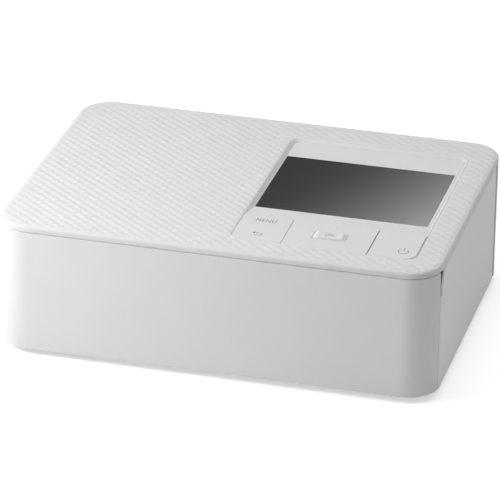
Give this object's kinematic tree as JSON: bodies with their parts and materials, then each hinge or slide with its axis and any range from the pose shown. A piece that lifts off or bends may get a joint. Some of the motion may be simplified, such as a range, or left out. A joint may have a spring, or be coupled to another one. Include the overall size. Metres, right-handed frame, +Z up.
{
  "type": "compact photo printer",
  "caption": "Compact photo printer: rounded box with a recessed display panel, hinged cassette cover, hinged side panel, rocker keys and a geared roller and thermal head mechanism.",
  "frame": {"origin": "centre of the footprint at the height of the surface that the feet stand on", "axes": "+X right along the front cover, +Y back, +Z up"},
  "size_m": [0.1822, 0.133, 0.058],
  "materials": {
    "shell_white": "fine satin moulded plastic",
    "deck_white": "satin plastic with a fine lattice relief",
    "panel_white": "smooth satin plastic",
    "key_white": "smooth satin plastic",
    "window_glass": "dark tinted gloss",
    "dark_plastic": "fine spark-eroded grain",
    "rubber_black": "matt",
    "zinc_steel": "zinc plated sheet",
    "pin_steel": "ground",
    "aluminium": "extruded",
    "ceramic": "ground ceramic",
    "gear_acetal": "natural acetal",
    "brass": "machined",
    "board_green": "solder mask",
    "ink_film": "wound film",
    "lever_amber": "satin",
    "socket_metal": "plated"
  },
  "bodies": {
    "chassis": {"base_pan": "dark_plastic", "rubber_feet": "rubber_black", "base_screws": "pin_steel", "rear_shell": "shell_white", "top_cover": "deck_white", "case_screws": "pin_steel", "front_hinge_pin": "pin_steel", "ink_hinge_pin": "pin_steel", "front_fascia": "dark_plastic", "side_fascia": "dark_plastic", "cassette_bay_floor": "dark_plastic", "left_frame": "zinc_steel", "right_frame": "zinc_steel", "tie_rods": "pin_steel", "roller_bushes": "gear_acetal", "pinch_holders": "dark_plastic", "paper_guide": "dark_plastic", "head_pivot_rod": "pin_steel", "ink_cassette_case": "dark_plastic", "feed_motor": "zinc_steel", "gear_posts": "pin_steel", "frame_screws": "pin_steel", "panel_bezel": "panel_white", "display_window": "window_glass", "display_module": "zinc_steel", "key_board": "board_green", "main_board": "board_green", "connector_board": "board_green", "memory_card_socket": "socket_metal", "usb_socket": "socket_metal", "power_board": "board_green", "dc_socket": "dark_plastic", "usb_c_socket": "socket_metal", "cooling_fan_housing": "dark_plastic"},
    "front_cover": {"front_cover": "shell_white"},
    "ink_cover": {"ink_cover": "shell_white"},
    "platen": {"platen_roller": "rubber_black", "platen_shaft": "pin_steel"},
    "capstan": {"capstan_roller": "pin_steel", "capstan_gear": "gear_acetal"},
    "pinch": {"pinch_roller": "rubber_black"},
    "pick": {"pick_roller": "rubber_black", "pick_shaft": "pin_steel", "pick_gear": "gear_acetal"},
    "print_head": {"head_arm": "zinc_steel", "heat_sink": "aluminium", "thermal_head": "ceramic"},
    "supply_spool": {"ink_supply_spool": "ink_film"},
    "take_up_spool": {"ink_take_up_spool": "ink_film", "take_up_gear": "gear_acetal"},
    "idler": {"idler_gear": "gear_acetal"},
    "compound": {"compound_gear": "gear_acetal"},
    "motor_rotor": {"motor_pinion": "brass"},
    "menu_key": {"menu_key_plate": "key_white"},
    "power_key": {"power_key_plate": "key_white"},
    "navigation_ring": {"navigation_carrier": "dark_plastic"},
    "navigation_key": {"navigation_plate": "key_white"},
    "ok_key": {"ok_button": "key_white"},
    "fan_rotor": {"cooling_fan_rotor": "dark_plastic"},
    "release_lever": {"cassette_release_lever": "lever_amber"}
  },
  "joints": [
    {"name": "front_cover_hinge", "type": "hinge", "parent": "chassis", "child": "front_cover", "pos_m": [-0.0881, -0.053, 0.0289], "axis": [0, 0, -1], "range_deg": [0, 95]},
    {"name": "ink_cover_hinge", "type": "hinge", "parent": "chassis", "child": "ink_cover", "pos_m": [0.0881, 0.0496, 0.0289], "axis": [0, 0, 1], "range_deg": [0, 90]},
    {"name": "capstan_spin", "type": "hinge", "parent": "chassis", "child": "capstan", "pos_m": [-0.008, 0, 0.0151], "axis": [1, 0, 0], "continuous": true},
    {"name": "platen_spin", "type": "hinge", "parent": "chassis", "child": "platen", "pos_m": [-0.008, 0.018, 0.013], "axis": [1, 0, 0], "continuous": true},
    {"name": "pinch_spin", "type": "hinge", "parent": "chassis", "child": "pinch", "pos_m": [-0.008, 0, 0.0219], "axis": [1, 0, 0], "continuous": true},
    {"name": "pick_spin", "type": "hinge", "parent": "chassis", "child": "pick", "pos_m": [-0.008, -0.02184, 0.02591], "axis": [1, 0, 0], "continuous": true},
    {"name": "compound_spin", "type": "hinge", "parent": "chassis", "child": "compound", "pos_m": [-0.07, -0.00774, 0.02616], "axis": [1, 0, 0], "continuous": true},
    {"name": "motor_spin", "type": "hinge", "parent": "chassis", "child": "motor_rotor", "pos_m": [-0.07, -0.0213, 0.03754], "axis": [1, 0, 0], "continuous": true},
    {"name": "idler_spin", "type": "hinge", "parent": "chassis", "child": "idler", "pos_m": [-0.07, 0.0162, 0.03028], "axis": [1, 0, 0], "continuous": true},
    {"name": "take_up_spin", "type": "hinge", "parent": "chassis", "child": "take_up_spool", "pos_m": [-0.008, 0.037, 0.0361], "axis": [1, 0, 0], "continuous": true},
    {"name": "supply_spin", "type": "hinge", "parent": "chassis", "child": "supply_spool", "pos_m": [-0.008, -0.001, 0.0361], "axis": [1, 0, 0], "continuous": true},
    {"name": "head_lift", "type": "hinge", "parent": "chassis", "child": "print_head", "pos_m": [-0.008, 0.052, 0.0479], "axis": [-1, 0, 0], "range_deg": [0, 3]},
    {"name": "menu_key_rock", "type": "hinge", "parent": "chassis", "child": "menu_key", "pos_m": [0.0143, -0.0426, 0.0546], "axis": [1, 0, 0], "range_deg": [-2, 2], "stiffness_Nm_per_rad": 0.02},
    {"name": "power_key_rock", "type": "hinge", "parent": "chassis", "child": "power_key", "pos_m": [0.0698, -0.0426, 0.0546], "axis": [1, 0, 0], "range_deg": [-2, 2], "stiffness_Nm_per_rad": 0.02},
    {"name": "navigation_ring_rock", "type": "hinge", "parent": "chassis", "child": "navigation_ring", "pos_m": [0.0424, -0.0426, 0.0546], "axis": [1, 0, 0], "range_deg": [-2, 2], "stiffness_Nm_per_rad": 0.02},
    {"name": "navigation_key_rock", "type": "hinge", "parent": "navigation_ring", "child": "navigation_key", "pos_m": [0.0424, -0.0426, 0.0546], "axis": [0, 1, 0], "range_deg": [-1.8, 1.8], "stiffness_Nm_per_rad": 0.02},
    {"name": "ok_press", "type": "slide", "parent": "chassis", "child": "ok_key", "axis": [0, 0, -1], "range_m": [0, 0.0005], "stiffness_N_per_m": 400},
    {"name": "fan_spin", "type": "hinge", "parent": "chassis", "child": "fan_rotor", "pos_m": [-0.047, 0.06, 0.038], "axis": [0, 1, 0], "continuous": true},
    {"name": "release_slide", "type": "slide", "parent": "chassis", "child": "release_lever", "axis": [0, -1, 0], "range_m": [0, 0.002], "stiffness_N_per_m": 150}
  ],
  "couplings": [
    {"joint": "pinch_spin", "follows": "capstan_spin", "ratio": -1.5385},
    {"joint": "compound_spin", "follows": "capstan_spin", "ratio": -2},
    {"joint": "motor_spin", "follows": "capstan_spin", "ratio": 6.4286},
    {"joint": "idler_spin", "follows": "capstan_spin", "ratio": -0.68182},
    {"joint": "take_up_spin", "follows": "capstan_spin", "ratio": 1.0714},
    {"joint": "pick_spin", "follows": "capstan_spin", "ratio": 0.9375}
  ]
}
